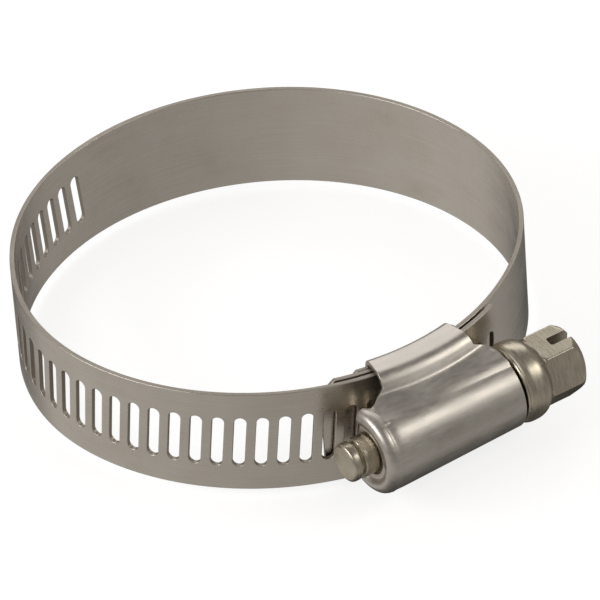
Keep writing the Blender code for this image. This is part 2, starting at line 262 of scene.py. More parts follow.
def angle_at(length):
    """Clockwise angle at an arc length along the mid-line from -Y."""
    if length <= 0:
        return length / STRIP_R
    low = min(bisect_right(LENGTHS, length) - 1, RING_SAMPLES - 1)
    part = (length - LENGTHS[low]) / (LENGTHS[low + 1] - LENGTHS[low])
    return ANGLES[low] + (ANGLES[low + 1] - ANGLES[low]) * part


def on_ring(along):
    """Mid-line point, direction towards the tail and outward normal at a distance along the band."""
    u = angle_at(-along)
    if u < 0:
        base = Vector((-STRIP_R * math.sin(u), -STRIP_R * math.cos(u), 0))
        normal = base.normalized()
    else:
        base = ring_point(u)
        ahead = ring_point(u + TANGENT_STEP) - ring_point(u - TANGENT_STEP)
        normal = Vector((-ahead.y, ahead.x, 0)).normalized()
        if normal.dot(base) < 0:
            normal.negate()
    return base, Vector((-normal.y, normal.x, 0)), normal


def on_circle(radius):
    """The same as on_ring for a circle round the guide axis."""
    def place(along):
        a = along / radius
        normal = Vector((math.sin(a), -math.cos(a), 0))
        return normal * radius, Vector((-normal.y, normal.x, 0)), normal
    return place


# ---------------------------------------------------------------- strips bent from flat

ARC_STEPS = 12
MERGE = 0.002
NEAR = 1e-5
CUT_CLEARANCE = 0.012


def slot_outline(centre):
    """Stadium outline of one slot in the flat strip, leaned like the worm's thread."""
    points = []
    half = SLOT_LEN / 2 - SLOT_W / 2
    for end, start in ((1, 0), (-1, math.pi)):
        for i in range(ARC_STEPS + 1):
            a = start + math.pi * i / ARC_STEPS
            x = SLOT_W / 2 * math.cos(a)
            y = end * half + SLOT_W / 2 * math.sin(a)
            points.append((centre + x * math.cos(SLOT_LEAN) + y * math.sin(SLOT_LEAN),
                           y * math.cos(SLOT_LEAN) - x * math.sin(SLOT_LEAN)))
    return points


def plate_outline(left, right, width, left_clip=0.0, right_clip=0.0):
    """Outline of a flat plate, with the corners of each end cut off by its clip."""
    half = width / 2
    lower = [
        (left, left_clip - half), (left + left_clip, -half),
        (right - right_clip, -half), (right, right_clip - half),
    ]
    upper = [(x, -y) for x, y in reversed(lower)]
    return list(dict.fromkeys(lower + upper))


def flat_strip(outline, holes, thickness):
    """Flat strip with rounded edges, as a bmesh in (along, across, outward)."""
    curve = bpy.data.curves.new("flat_strip", "CURVE")
    curve.dimensions = "2D"
    curve.fill_mode = "BOTH"
    curve.extrude = thickness / 2 - EDGE_R
    curve.bevel_depth = EDGE_R
    curve.bevel_resolution = 2
    curve.offset = -EDGE_R
    for loop in [outline] + holes:
        spline = curve.splines.new("POLY")
        spline.points.add(len(loop) - 1)
        for point, (x, y) in zip(spline.points, loop):
            point.co = (x, y, 0, 1)
        spline.use_cyclic_u = True
    flat = add_object("flat_strip", curve)
    mesh = evaluated_mesh(flat)
    bpy.data.objects.remove(flat, do_unlink=True)
    bpy.data.curves.remove(curve)
    bm = bmesh.new()
    bm.from_mesh(mesh)
    bpy.data.meshes.remove(mesh)
    bmesh.ops.remove_doubles(bm, verts=bm.verts, dist=MERGE)
    return bm


def cut(bm, x, near=0.0001, **clear):
    """Cut the flat strip across at x, except that vertices within near of x count as on the cut."""
    bmesh.ops.bisect_plane(bm, geom=bm.verts[:] + bm.edges[:] + bm.faces[:], plane_co=(x, 0, 0),
                           plane_no=(1, 0, 0), dist=near, **clear)


def tidy_flats(bm, start, width, thickness):
    """Redo the triangles of the strip's two flat sides, one bend width at a time, without slivers."""
    groups = {}
    for face in bm.faces:
        heights = [v.co.z for v in face.verts]
        if min(heights) > thickness / 2 - NEAR or max(heights) < NEAR - thickness / 2:
            column = math.floor((face.calc_center_median().x - start) / width)
            groups.setdefault((heights[0] > 0, column), []).append(face)
    for faces in groups.values():
        bmesh.ops.dissolve_faces(bm, faces=faces)
    bmesh.ops.dissolve_verts(bm, verts=[v for v in bm.verts if len(v.link_edges) == 2])
    bmesh.ops.triangulate(bm, faces=[f for f in bm.faces if len(f.verts) > 4], ngon_method="BEAUTY")


def divided_strip(start, end, slots, thickness, outline):
    """Flat strip cut across at every bend, and the set of its end faces if it is cut off square."""
    square = outline is None
    if square:
        outline = plate_outline(start - 1, end + 1, BAND_W)
    bm = flat_strip(outline, [slot_outline(centre) for centre in slots], thickness)
    if square:
        cut(bm, end, clear_outer=True)
        cut(bm, start, clear_inner=True)
        bmesh.ops.holes_fill(bm, edges=[e for e in bm.edges if e.is_boundary], sides=0)
    count = round((end - start) / BEND_STEP)
    for i in range(1, count):
        cut(bm, start + (end - start) * i / count, CUT_CLEARANCE)
    tidy_flats(bm, start, (end - start) / count, thickness)
    bmesh.ops.recalc_face_normals(bm, faces=bm.faces)
    ends = {f for f in bm.faces if square and abs(f.normal.x) > 0.999
            and min(abs(f.calc_center_median().x - x) for x in (start, end)) < 1e-3}
    return bm, ends


def strip_normal(vert, thickness, ends):
    """Normal of a rounded-edge strip at a vertex of the flat strip, as if it went on past its cut ends."""
    side = Vector((0, 0, 0))
    for face in vert.link_faces:
        if face not in ends:
            side += Vector((face.normal.x, face.normal.y, 0)) * face.calc_area()
    rise = (abs(vert.co.z) - (thickness / 2 - EDGE_R)) / EDGE_R
    tilt = math.asin(min(max(rise, 0), 1))
    if side.length < 1e-9 or rise > 0.999:
        tilt = math.pi / 2
        side = Vector((1, 0, 0))
    side.normalize()
    return side * math.cos(tilt) + Vector((0, 0, math.copysign(math.sin(tilt), vert.co.z)))


def strip_piece(name, start, end, slots, place, material, thickness=BAND_T, outline=None):
    """Strip bent along a line between two distances, cut off square unless it has its own outline."""
    bm, ends = divided_strip(start, end, slots, thickness, outline)
    bm.faces.index_update()
    bm.verts.index_update()
    end_faces = {f.index for f in ends}
    face_normals = [f.normal.copy() for f in bm.faces]
    normals = [strip_normal(v, thickness, ends) for v in bm.verts]
    flat = [v.co.copy() for v in bm.verts]
    frames = [place(co.x) for co in flat]
    for v, (base, _, outward) in zip(bm.verts, frames):
        v.co = TO_ROW @ (base + outward * v.co.z + Vector((0, 0, v.co.y)))
    mesh = mesh_of(name, bm)
    attribute = mesh.attributes.new("strip", "FLOAT_VECTOR", "POINT")
    as_band = BAND_T / thickness
    attribute.data.foreach_set("vector", [c for co in flat for c in (co.x, co.y, co.z * as_band)])
    loops = []
    for polygon in mesh.polygons:
        polygon.use_smooth = True
        for vertex in polygon.vertices:
            n = face_normals[polygon.index] if polygon.index in end_faces else normals[vertex]
            _, tangent, outward = frames[vertex]
            loops.append(tangent * n.x + Vector((0, 0, n.y)) + outward * n.z)
    mesh.normals_split_custom_set(loops)
    return add_piece(name, mesh, material)


# ---------------------------------------------------------------- housing: sheet metal from its mid-surface

# (x, y) of the line where the barrel's wall ends over the band
LIP_LINE = [(-12.0, -31.4), (-8.9, -30.7), (-8.0, -30.5)]

# (x, radius) of the wall that closes the barrel, from the pilot's hole out
CLOSED_END = [
    (-8.78, PILOT_HOLE_R), (-8.74, 2.9), (-8.78, 3.2), (-8.94, 3.5), (-9.12, 3.76), (-9.17, 4.0),
    (-9.07, 4.28), (-8.83, 4.5), (-8.45, 4.59),
]
CLOSED_END_STEPS = 3
END_WALL_ANGLE = 3.0
CLOSE_OVER = 0.9

# (outward from the screw's axis, height from the band's middle) of the sheet from the barrel out over a
# lug and down behind the band, in PATH_STEPS steps from each point to the next. Past CREASE_STEP there is
# sheet in the lugs only, and from BENT_STEP on it is fully bent round the ring
LUG_PATH = [
    (1.1, 4.37), (0.4, 4.68), (-0.3, 4.99), (-0.84, 5.33), (-1.24, 5.86), (-1.68, 6.4), (-2.3, 6.8),
    (-3.3, 6.85), (-4.2, 6.85), (-4.82, 6.80), (-5.26, 6.47), (-5.44, 5.9), (-5.46, 5.2), (-5.46, 3.4),
]
PATH_STEPS = 5
CREASE_STEP = 25
BENT_STEP = 22

# (x, steps down the lug path that the sheet reaches there before it is cut off) and (step, half of the
# sheet's thickness)
EAR_HEIGHT = [(-8.45, 8), (-5.96, 25), (6.58, 25), (7.6, 20.5), (8.1, 17), (8.35, 11), (8.45, 6)]
SHEET_HALF_T = [(4, BARREL_HALF_T), (14, LUG_HALF_T), (45, LUG_HALF_T), (56, TAB_HALF_T)]

# (x where a run of stations ends, number of stations in it)
HOUSING_RUNS = [(-7.4, 10), (LUG_LEFT_X, 8), (LUG_RIGHT_X, 32), (7.9, 7), (BARREL_RIGHT_X, 7)]
BARREL_ROWS = 44


def thicken(name, bm, half_t):
    """Mesh of a closed sheet from its open mid-surface, with a rounded rim along every free edge.

    Half the thickness is read at every vertex from the layer half_t.
    """
    bm.verts.index_update()
    bm.normal_update()
    outward = {}
    for e in bm.edges:
        if not e.is_boundary:
            continue
        loop = e.link_loops[0]
        a, b = loop.vert, loop.link_loop_next.vert
        away = (b.co - a.co).normalized().cross(loop.face.normal)
        for v in (a, b):
            outward[v.index] = outward.get(v.index, Vector()) + away
    positions, normals, index = [], [], {}

    def add(key, co, normal):
        index[key] = len(positions)
        positions.append(TO_ROW @ co)
        normals.append(normal.normalized())

    turn = [math.pi / 2 * k / RIM_STEPS for k in range(1, RIM_STEPS + 1)]
    under = 2 * RIM_STEPS + 1
    for v in bm.verts:
        h, n = v[half_t], v.normal
        add((v.index, 0), v.co + n * h, n)
        if v.index in outward:
            away = (outward[v.index] - n * n.dot(outward[v.index])).normalized()
            rim = [(h - RIM_R + RIM_R * math.cos(t), RIM_R * math.sin(t), t) for t in turn]
            rim += [(-up, out, math.pi - t) for up, out, t in reversed(rim)]
            for k, (up, out, t) in enumerate(rim):
                add((v.index, k + 1), v.co + n * up + away * out, n * math.cos(t) + away * math.sin(t))
        add((v.index, under), v.co - n * h, -n)
    faces = []
    for f in bm.faces:
        ring = [v.index for v in f.verts]
        faces.append([index[i, 0] for i in ring])
        faces.append([index[i, under] for i in reversed(ring)])
        for loop in f.loops:
            if loop.edge.is_boundary:
                a, b = loop.vert.index, loop.link_loop_next.vert.index
                for k in range(under):
                    faces.append([index[b, k], index[a, k], index[a, k + 1], index[b, k + 1]])
    mesh = bpy.data.meshes.new(name)
    mesh.from_pydata(positions, [], faces)
    mesh.polygons.foreach_set("use_smooth", [True] * len(mesh.polygons))
    mesh.update()
    mesh.normals_split_custom_set_from_vertices(normals)
    bm.free()
    return mesh


def barrel_radius(x):
    """Mid-sheet radius of the barrel, which tapers a little towards the screw's head."""
    t = (x - BARREL_LEFT_X) / (BARREL_RIGHT_X - BARREL_LEFT_X)
    return BARREL_LEFT_R + (BARREL_RIGHT_R - BARREL_LEFT_R) * t


def barrel_dent(x, a):
    """Depth of the pinched neck beside the closed end's rim, deepest on the upper front."""
    neck = bell(x - NECK_X, NECK_REACH_LEFT if x < NECK_X else NECK_REACH_RIGHT)
    return neck * (NECK_DEPTH + NECK_FRONT_DEPTH * bell(a - NECK_FRONT_ANGLE, NECK_FRONT_REACH))


def barrel_point(x, r, a):
    """Point at angle a round the screw from the outward side, towards +Z."""
    r -= barrel_dent(x, a)
    return Vector((x, -AXIS_R - r * math.cos(a), r * math.sin(a)))


def lip_angle(x, r):
    """Angle round the screw at which the barrel's wall ends."""
    return math.acos((-AXIS_R - along_points(LIP_LINE, x)) / r)


def lug_line(x):
    """Smooth cross-section of the sheet from the barrel up to the lug, over it and down behind the band."""
    r = barrel_radius(x)
    start = (r * math.cos(LEAVE_BARREL), r * math.sin(LEAVE_BARREL))
    return catmull_rom([start] + LUG_PATH, PATH_STEPS)


def lug_point(x, line, share, step, side):
    """Point of the sheet beside the barrel: share goes from the lug's left side at 0 to its right at 1."""
    low = min(int(step), len(line) - 2)
    out, z = line[low].lerp(line[low + 1], step - low)
    u = LUG_START + (LUG_END - LUG_START) * share
    radius = AXIS_R + out
    bent = Vector((radius * math.sin(u), -radius * math.cos(u), side * z))
    straight = Vector((x, -radius, side * z))
    return straight.lerp(bent, smooth_step(step / BENT_STEP))


def side_point(x, r, line, steps, side, in_end_wall):
    """Point of the sheet some steps down one side from the barrel, and half its thickness there."""
    round_on = LEAVE_BARREL + (lip_angle(x, r) - LEAVE_BARREL) * steps / CREASE_STEP
    if in_end_wall:
        return barrel_point(x, r, side * min(round_on, END_WALL_ANGLE)), BARREL_HALF_T
    if steps <= CREASE_STEP:
        steps *= along_points(EAR_HEIGHT, x) / CREASE_STEP
    point = lug_point(x, line, (x - LUG_LEFT_X) / (LUG_RIGHT_X - LUG_LEFT_X), steps, side)
    closed = 1 - smooth_step((x - CLOSED_END[-1][0]) / CLOSE_OVER)
    if closed > 0:
        point = point.lerp(barrel_point(x, r, side * round_on), closed)
    return point, along_points(SHEET_HALF_T, steps)


def housing_columns():
    """Stations (x, radius) of the housing: its closed end from the pilot's hole out, then its length."""
    columns = [tuple(p) for p in catmull_rom(CLOSED_END, CLOSED_END_STEPS)]
    first = columns[-1][0]
    for stop, count in HOUSING_RUNS:
        for k in range(1, count + 1):
            x = first + (stop - first) * k / count
            columns.append((x, barrel_radius(x)))
        first = stop
    return columns


def build_housing(material):
    """Pressed housing: barrel with a closed end, and a lug folded round each edge of the band.

    Rows 0 to BARREL_ROWS go round the barrel. Rows below and above them go down its two sides.
    """
    columns = housing_columns()
    wall_end = (len(CLOSED_END) - 1) * CLOSED_END_STEPS
    lines = [lug_line(x) for x, _ in columns]
    bm = bmesh.new()
    half_t = bm.verts.layers.float.new("half_t")
    verts = {}

    def vert(i, row):
        """Vertex of a column in a row, made when it is first asked for."""
        if (i, row) not in verts:
            x, r = columns[i]
            if 0 <= row <= BARREL_ROWS:
                point = barrel_point(x, r, LEAVE_BARREL * (2 * row / BARREL_ROWS - 1))
                half = BARREL_HALF_T
            elif row > BARREL_ROWS:
                point, half = side_point(x, r, lines[i], row - BARREL_ROWS, 1, i <= wall_end)
            else:
                point, half = side_point(x, r, lines[i], -row, -1, i <= wall_end)
            verts[i, row] = bm.verts.new(point)
            verts[i, row][half_t] = half
        return verts[i, row]

    for i in range(len(columns) - 1):
        middle = (columns[i][0] + columns[i + 1][0]) / 2
        in_lug = i > wall_end and LUG_LEFT_X < middle < LUG_RIGHT_X
        depth = len(LUG_PATH) * PATH_STEPS if in_lug else CREASE_STEP
        for row in range(-depth, BARREL_ROWS + depth):
            bm.faces.new((vert(i, row), vert(i + 1, row), vert(i + 1, row + 1), vert(i, row + 1)))
    return add_piece("housing_shell", thicken("housing_shell", bm, half_t), material)


# ---------------------------------------------------------------- screw

# outlines of the turned parts, as (x, radius)
COLLAR = catmull_rom([
    (COLLAR_X, 4.2), (COLLAR_X + 0.15, 4.35), (COLLAR_X + 0.3, 4.28), (COLLAR_X + 0.45, 4.42),
    (COLLAR_X + 0.9, 4.6), (COLLAR_X + 1.5, 4.64), (COLLAR_X + 2.1, 4.6), (COLLAR_X + 2.6, 4.47),
    (COLLAR_X + 3.0, 4.24), (COLLAR_X + 3.4, 3.9), (HEX_X, 3.6),
], 4)
HEAD = [
    (HEX_ROOT_X, 3.5), (HEX_X - 0.1, 4.1), (HEX_X + 0.3, 4.3), (HEAD_END_X - 1.5, 4.3),
    (HEAD_END_X - 0.55, 3.7), (HEAD_END_X - 0.14, 3.1), (HEAD_END_X, 2.85),
]
PILOT = catmull_rom([
    (PILOT_END_X, 1.9), (PILOT_END_X + 0.12, 2.1), (PILOT_END_X + 0.32, 2.2),
    (PILOT_GROOVE_X - 0.35, 2.2), (PILOT_GROOVE_X - 0.18, 2.12), (PILOT_GROOVE_X - 0.04, 1.86),
    (PILOT_GROOVE_X + 0.12, 1.84), (PILOT_GROOVE_X + 0.24, 2.12), (PILOT_GROOVE_X + 0.34, 2.26),
    (PILOT_GROOVE_X + 0.6, PILOT_R), (WORM_START_X - 0.7, PILOT_R), (WORM_START_X - 0.4, PILOT_R),
    (WORM_START_X - 0.25, 2.6), (WORM_START_X - 0.1, SHANK_R), (COLLAR_X, SHANK_R),
], 3)

# where its vertices stand: angles from a corner of the hexagon to the middle of a flat, and runs of
# rings as (start, end, spacing)
HEX_CORNER_DEGREES = [0, 0.5, 1.1, 1.8, 2.8, 4.2, 6.5, 10, 14, 18, 22, 26]
SCREW_RUNS = [
    (PILOT_END_X, PILOT_END_X + 2, 0.05), (PILOT_END_X + 2, WORM_START_X - 0.5, 0.2),
    (WORM_START_X - 0.5, COLLAR_X - 0.001, 0.1), (COLLAR_X, HEX_ROOT_X, 0.07),
    (HEX_ROOT_X, HEX_X + 0.6, 0.04), (HEX_X + 0.6, HEAD_END_X - 1.8, 0.25),
    (HEAD_END_X - 1.8, HEAD_END_X, 0.05),
]
CAP_INSET = 0.93
SHARP_ANGLE = math.radians(28)


def worm_ridge(x, a):
    """Height of the thread above the shank at x and angle a."""
    turns = x / PITCH - LAST_SLOT - a / (2 * math.pi)
    distance = abs(turns - round(turns)) * PITCH
    rise = (WORM_ROOT / 2 - distance) / (WORM_ROOT / 2 - WORM_FLAT / 2)
    fade = smooth_step(min(x - WORM_START_X, WORM_END_X - x) / PITCH / WORM_FADE)
    return (WORM_R - SHANK_R) * smooth_step(rise) * fade


def hex_radius(a):
    """Hexagon's surface at angle a, with its corners eased."""
    flats = sorted(HEX_R / max(math.cos(a - HEAD_TURN - math.pi / 6 - math.pi / 3 * k), 0.3)
                   for k in range(6))
    return smooth_min(flats[0], flats[1], HEX_EASE)


def screw_radius(x, a):
    """Surface of the screw at x and angle a round its axis. The pilot's groove runs a little askew."""
    if x < COLLAR_X:
        lead = GROOVE_LEAD * bell(x - PILOT_GROOVE_X, GROOVE_REACH) * (a / (2 * math.pi) % 1 - 0.5)
        return along_points(PILOT, x + lead) + worm_ridge(x, a) * (WORM_START_X < x < WORM_END_X)
    collar = along_points(COLLAR, x)
    if x < HEX_ROOT_X:
        return collar
    head = smooth_min(hex_radius(a), along_points(HEAD, x), HEAD_EASE)
    return max(collar, head) if x < HEX_X else head


def turned_screw():
    """Mesh of the screw without its driver slot, as rings of vertices about its axis."""
    sixth = HEX_CORNER_DEGREES + [30] + [60 - c for c in HEX_CORNER_DEGREES[:0:-1]]
    angles = [HEAD_TURN + math.radians(60 * k + c) for k in range(6) for c in sixth]
    stations = [HEAD_END_X]
    for first, last, step in SCREW_RUNS:
        count = round((last - first) / step)
        stations += [first + (last - first) * k / count for k in range(count)]
    bm = bmesh.new()
    rings = []
    for x in sorted(stations):
        radii = [screw_radius(x, a) for a in angles]
        rings.append([bm.verts.new((x, r * math.cos(a), r * math.sin(a))) for r, a in zip(radii, angles)])
    for near, far in zip(rings, rings[1:]):
        for k in range(len(angles)):
            n = (k + 1) % len(angles)
            bm.faces.new((near[k], far[k], far[n], near[n]))
    for ring in (rings[0], rings[-1]):
        inset = [bm.verts.new((v.co.x, v.co.y * CAP_INSET, v.co.z * CAP_INSET)) for v in ring]
        for k in range(len(angles)):
            n = (k + 1) % len(angles)
            bm.faces.new((ring[k], ring[n], inset[n], inset[k]))
        bm.faces.new(inset)
    bmesh.ops.recalc_face_normals(bm, faces=bm.faces)
    bm.transform(TO_SCREW_AXIS)
    return mesh_of("screw_turned", bm)


def driver_slot():
    """Mesh that fills the slot for a flat screwdriver, with a flared mouth and eased bottom corners."""
    side = DRIVER_SLOT_W / 2
    mouth = side + DRIVER_SLOT_FLARE
    bottom = HEAD_END_X - DRIVER_SLOT_DEPTH
    upper = [
        (HEAD_END_X + 1, mouth), (HEAD_END_X + 0.02, mouth), (HEAD_END_X - DRIVER_SLOT_FLARE, side),
        (bottom + DRIVER_SLOT_EASE, side), (bottom, side - DRIVER_SLOT_EASE),
    ]
    outline = [(x, -y) for x, y in upper] + upper[::-1]
    bm = bmesh.new()
    face = bm.faces.new([bm.verts.new((x, y, -DRIVER_REACH)) for x, y in outline])
    moved = bmesh.ops.extrude_face_region(bm, geom=[face])
    top = [item for item in moved["geom"] if isinstance(item, bmesh.types.BMVert)]
    bmesh.ops.translate(bm, verts=top, vec=(0, 0, 2 * DRIVER_REACH))
    bmesh.ops.recalc_face_normals(bm, faces=bm.faces)
    bm.transform(TO_SCREW_AXIS @ Matrix.Rotation(HEAD_TURN, 4, "X"))
    return mesh_of("driver_slot", bm)


def build_screw(material):
    """Screw in one piece: pilot, thread, collar and hexagon head with its driver slot cut in."""
    body = add_piece("screw_turned", turned_screw(), material)
    tool = add_object("driver_slot", driver_slot())
    modifier = body.modifiers.new("driver_slot", "BOOLEAN")
    modifier.operation = "DIFFERENCE"
    modifier.solver = "EXACT"
    modifier.object = tool
    mesh = evaluated_mesh(body)
    body.modifiers.clear()
    body.data = mesh
    bpy.data.objects.remove(tool, do_unlink=True)
    bm = bmesh.new()
    bm.from_mesh(mesh)
    for f in bm.faces:
        f.smooth = True
    for e in bm.edges:
        e.smooth = e.calc_face_angle(0) < SHARP_ANGLE
    bm.to_mesh(mesh)
    bm.free()
    mesh.transform(TO_ROW)
    return body


# ---------------------------------------------------------------- shader nodes

def node(tree, kind, values=None, **settings):
    """Shader node with its settings and unlinked input values."""
    made = tree.nodes.new(kind)
    for key, value in settings.items():
        setattr(made, key, value)
    for key, value in (values or {}).items():
        made.inputs[key].default_value = value
    return made


def plug(tree, socket, value):
    """Feed a socket from another node's output, a colour or a number."""
    if isinstance(value, bpy.types.NodeSocket):
        tree.links.new(value, socket)
    else:
        socket.default_value = (*value, 1.0) if isinstance(value, tuple) else value


def noise(tree, place, stretch, scale, detail, roughness):
    """Noise between 0 and 1 at a place in millimetres, stretched along its axes."""
    mapping = node(tree, "ShaderNodeMapping", {"Scale": stretch})
    plug(tree, mapping.inputs["Vector"], place)
    values = {"Scale": scale, "Detail": detail, "Roughness": roughness}
    texture = node(tree, "ShaderNodeTexNoise", values)
    plug(tree, texture.inputs["Vector"], mapping.outputs["Vector"])
    return texture.outputs["Fac"]


def ranged(tree, value, low, high, to_low, to_high):
    """Value taken from low..high to to_low..to_high, and held there."""
    values = {"From Min": low, "From Max": high, "To Min": to_low, "To Max": to_high}
    mapped = node(tree, "ShaderNodeMapRange", values)
    plug(tree, mapped.inputs["Value"], value)
    return mapped.outputs["Result"]


def combine(tree, operation, a, b=0.0):
    """Result of one Math node."""
    result = node(tree, "ShaderNodeMath", operation=operation)
    plug(tree, result.inputs[0], a)
    plug(tree, result.inputs[1], b)
    return result.outputs[0]


def mix(tree, factor, a, b):
    """Colour between a and b."""
    mixed = node(tree, "ShaderNodeMix", data_type="RGBA")
    plug(tree, mixed.inputs["Factor"], factor)
    plug(tree, mixed.inputs["A"], a)
    plug(tree, mixed.inputs["B"], b)
    return mixed.outputs["Result"]


def aligned(tree, direction, towards):
    """Cosine between a direction and a fixed one."""
    product = node(tree, "ShaderNodeVectorMath", {1: towards}, operation="DOT_PRODUCT")
    plug(tree, product.inputs[0], direction)
    return product.outputs["Value"]


def height_of(tree, vector):
    """Z part of a vector."""
    parts = node(tree, "ShaderNodeSeparateXYZ")
    plug(tree, parts.inputs[0], vector)
    return parts.outputs["Z"]


# ---------------------------------------------------------------- steels

def flat_place(tree):
    """Place in the flat strip in millimetres, and a mask of its cut edges and slot walls, where the band is
    painted darker as shade.

    The marks of the rolling then run along the strip wherever it is bent.
    """
    place = node(tree, "ShaderNodeAttribute", attribute_name="strip").outputs["Vector"]
    depth = combine(tree, "ABSOLUTE", height_of(tree, place))
    return place, ranged(tree, depth, BAND_T / 2 - EDGE_R, BAND_T / 2 - 0.02, 0.9, 0.0)


def solid_place(tree):
    """Place in millimetres, and a mask of the outer edges."""
    scale = node(tree, "ShaderNodeVectorMath", {"Scale": 1000.0}, operation="SCALE")
    plug(tree, scale.inputs[0], node(tree, "ShaderNodeTexCoord").outputs["Object"])
    pointed = node(tree, "ShaderNodeNewGeometry").outputs["Pointiness"]
    return scale.outputs[0], ranged(tree, pointed, 0.53, 0.6, 0.0, 0.7)


def steel(name, light, dark, edge, rough, spread, grain, place_of=solid_place, edge_rough=0.0, bump=0.25):
    """Steel with rolling or turning marks, mottled tone, fine pits, and edges in the colour given as edge.
    """
    material = bpy.data.materials.new(name)
    material.use_nodes = True
    tree = material.node_tree
    place, edges = place_of(tree)
    marks = noise(tree, place, grain, 1.0, 5.0, 0.65)
    cloud = noise(tree, place, (1, 1, 1), 0.16, 3.0, 0.55)
    pits = noise(tree, place, (1, 1, 1), 5.5, 3.0, 0.6)
    tone = combine(tree, "ADD", combine(tree, "MULTIPLY", marks, 0.55),
                   combine(tree, "MULTIPLY", cloud, 0.45))
    color = mix(tree, ranged(tree, tone, 0.34, 0.66, 0.0, 1.0), dark, light)
    color = mix(tree, ranged(tree, pits, 0.66, 0.74, 0.0, 0.35), color, dark)
    # edge colour: lighter wear on the housing and screw; on the band, painted shade together with the
    # duller look of cut steel
    color = mix(tree, edges, color, edge)
    haze = combine(tree, "ADD", ranged(tree, marks, 0.3, 0.7, rough - spread, rough + spread),
                   ranged(tree, cloud, 0.35, 0.65, -0.04, 0.05))
    haze = combine(tree, "ADD", haze, combine(tree, "MULTIPLY", edges, edge_rough))
    height = combine(tree, "ADD", marks, combine(tree, "MULTIPLY", pits, 0.4))
    relief = node(tree, "ShaderNodeBump", {"Strength": bump, "Distance": 0.00001})
    plug(tree, relief.inputs["Height"], height)
    shader = tree.nodes["Principled BSDF"]
    plug(tree, shader.inputs["Metallic"], 1.0)
    plug(tree, shader.inputs["Base Color"], color)
    plug(tree, shader.inputs["Roughness"], haze)
    plug(tree, shader.inputs["Normal"], relief.outputs["Normal"])
    return material


# the band's dark edge colour is painted shade on its cut edges and in its slots, partly also the duller
# look of punched steel
band_steel = steel(
    "band_rolled_steel", light=(0.735, 0.69, 0.63), dark=(0.55, 0.50, 0.44), edge=(0.40, 0.36, 0.31),
    rough=0.30, spread=0.07, grain=(0.10, 7.0, 7.0), place_of=flat_place, edge_rough=0.25, bump=0.3)
housing_steel = steel(
    "housing_pressed_steel", light=(0.68, 0.64, 0.59), dark=(0.52, 0.48, 0.43), edge=(0.86, 0.83, 0.78),
    rough=0.36, spread=0.06, grain=(0.6, 2.4, 2.4))
screw_steel = steel(
    "screw_turned_steel", light=(0.66, 0.60, 0.49), dark=(0.40, 0.35, 0.27), edge=(0.82, 0.78, 0.69),
    rough=0.29, spread=0.08, grain=(5.0, 0.7, 0.7))

# ---------------------------------------------------------------- band

slot_centres = [(FIRST_SLOT + i) * PITCH for i in range(round(LAST_SLOT - FIRST_SLOT) + 1)]
cuts = SLOTTED_CUTS + [SLOTTED_CUTS[-1] - PLAIN_LENGTH * (i + 1) for i in range(PLAIN_LINKS)]
seams = [cuts[0] + HALF_LINK] + [(a + b) / 2 for a, b in zip(cuts, cuts[1:])]
bodies = ["slotted_tail"] + ["slotted_link_%d" % (i + 1) for i in range(len(SLOTTED_CUTS) - 1)]
bodies += ["plain_link_%d" % (i + 1) for i in range(PLAIN_LINKS)]


def band_piece(name, start, end):
    """Piece of the band between two distances towards the tail."""
    slots = [centre for centre in slot_centres if start < centre < end]
    return strip_piece(name, start, end, slots, on_ring, band_steel)


tail = band_piece("band_tail", seams[0], TAIL_END)
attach(tail, "slotted_tail")
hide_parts("band_slotted_tail")

for i, (near, far) in enumerate(zip(seams, seams[1:])):
    piece = band_piece("band_flex_%d" % (i + 1), far, near)
    reach = FLEX_REACH * (near - far)
    ends = [TO_ROW @ on_ring(cuts[i] + side * reach)[0] for side in (1, -1)]
    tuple(ends[0])
    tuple(ends[1])
    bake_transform(piece)
    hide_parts("band_" + bodies[i + 1])

inner_end = band_piece("band_inner_end", cuts[-1], seams[-1])
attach(inner_end, bodies[-1])
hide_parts("band_" + bodies[-1])

tip = PLAIN_R * FIXED_TIP_ANGLE
root = PLAIN_R * FIXED_ROOT_ANGLE
fixed = strip_piece("band_tongue", tip, root, [], on_circle(PLAIN_R), band_steel,
                    outline=plate_outline(tip, root, BAND_W, left_clip=TONGUE_CLIP))
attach(fixed, "clamp_base")
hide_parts("band_fixed_end")

# ---------------------------------------------------------------- saddle, housing and screw

saddle_end = SADDLE_R * SADDLE_HALF_ANGLE
saddle = strip_piece("saddle_plate", -saddle_end, saddle_end, [], on_circle(SADDLE_R), band_steel,
                     SADDLE_T,
                     plate_outline(-saddle_end, saddle_end, SADDLE_W, SADDLE_CLIP, SADDLE_CLIP))
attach(saddle, "clamp_base")
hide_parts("saddle")

housing = build_housing(housing_steel)
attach(housing, "clamp_base")
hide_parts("housing")

screw = build_screw(screw_steel)
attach(screw, "screw")
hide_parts("worm_screw")

# ---------------------------------------------------------------- floor, light and camera

RING_CENTRE = TO_ROW @ Vector((0, -RING_OFFSET, 0))
FLOOR_HALF = 1.5
FLOOR_GAP = 0.0001

# level of the sky's light from straight down (0) to straight up (1)
SKY_LEVELS = [
    (0.0, 0.10), (0.10, 0.20), (0.16, 0.46), (0.22, 0.52), (0.38, 0.44), (0.49, 0.28), (0.60, 0.28),
    (0.80, 0.36), (1.0, 0.24),
]
SKY_TINT = (1.0, 0.97, 0.925)
SKY_BRIGHT_AZIMUTH = math.radians(-125)

CAMERA_LENS = 436.4
CAMERA_DISTANCE = 0.8
CAMERA_ELEVATION = math.radians(36.7)
CAMERA_AZIMUTH = math.radians(-32.0)
CAMERA_ROLL = math.radians(-4.29)
CAMERA_TARGET = Vector((0.002925, 0, -0.002596))

